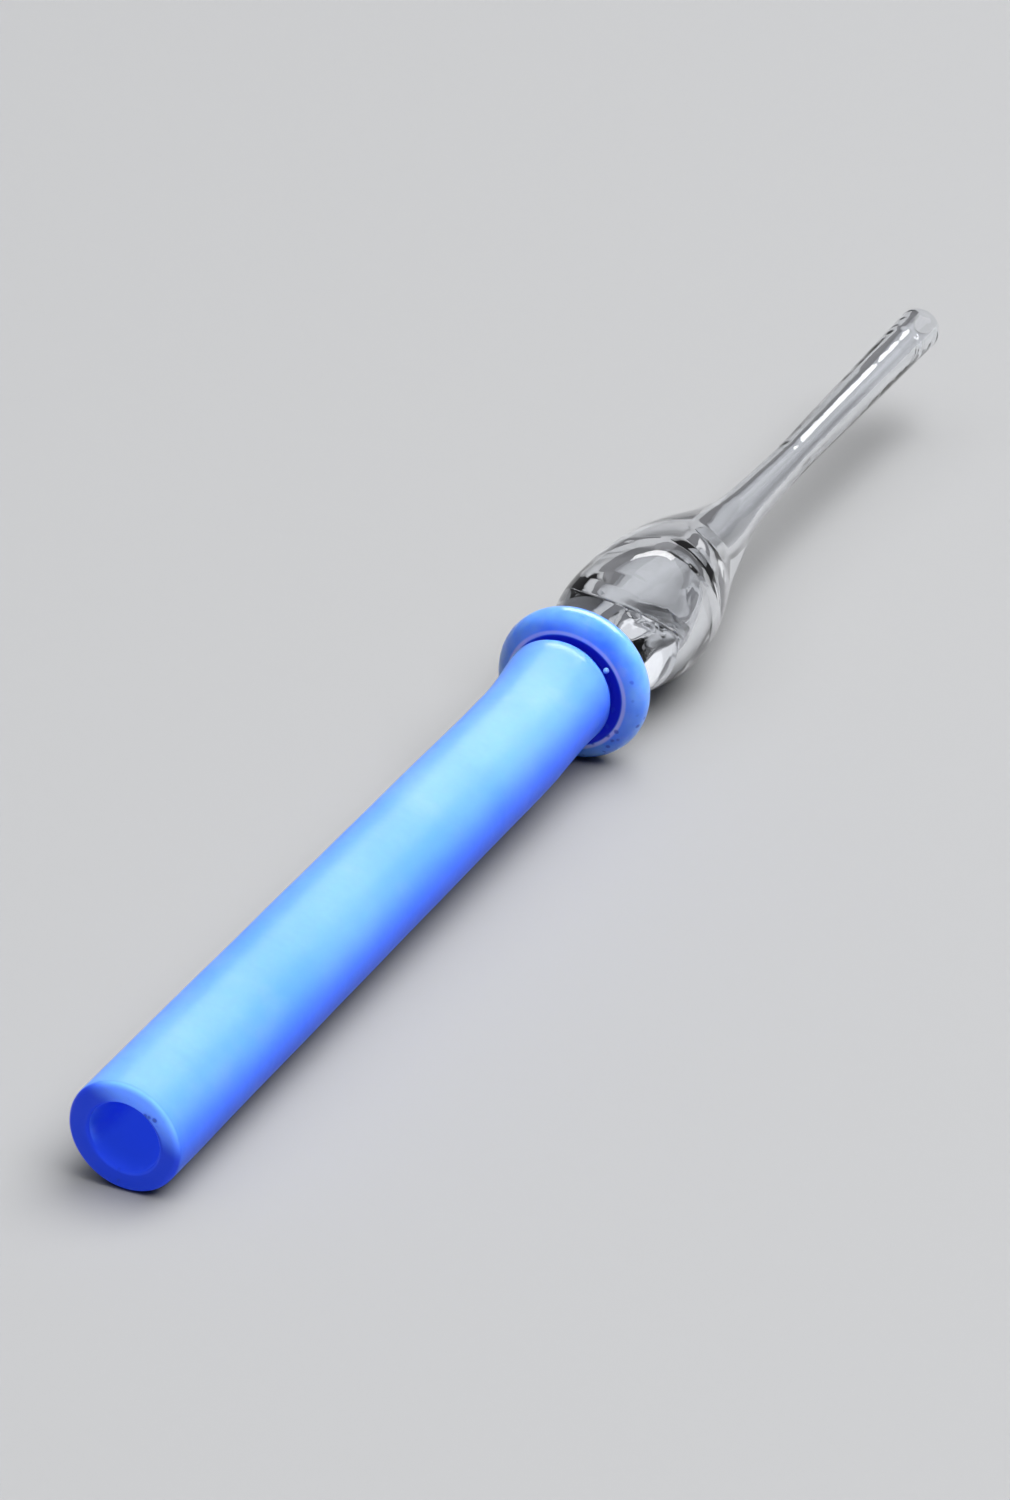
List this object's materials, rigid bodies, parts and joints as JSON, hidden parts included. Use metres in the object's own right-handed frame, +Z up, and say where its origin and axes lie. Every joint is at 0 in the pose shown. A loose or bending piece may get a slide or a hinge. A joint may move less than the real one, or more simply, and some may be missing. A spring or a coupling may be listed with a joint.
{
  "type": "bulb pipette",
  "caption": "Flame-worked glass pipette: a blue mouth tube, a blue ring collar, a clear thick-walled bulb with an inner tube, and a clear drawn stem with an open tip.",
  "frame": {"origin": "on the bench, under the middle of the pipette as it lies at rest", "axes": "+X from the mouth towards the tip, +Z up; the glass axis rises 1.69 degrees towards +X, because the pipette rests on its mouth rim and its ring"},
  "size_m": [0.2052, 0.0178, 0.0179],
  "materials": {
    "blue_glass": "milky translucent blue glass, fire-polished",
    "collar_glass": "translucent blue glass, fire-polished",
    "clear_glass": "clear borosilicate glass, fire-polished"
  },
  "bodies": {
    "root": {"mouth_tube": "blue_glass", "ring_collar": "collar_glass", "glass_seed": "collar_glass", "inner_tube": "clear_glass", "bulb": "clear_glass", "stem": "clear_glass"}
  },
  "joints": []
}
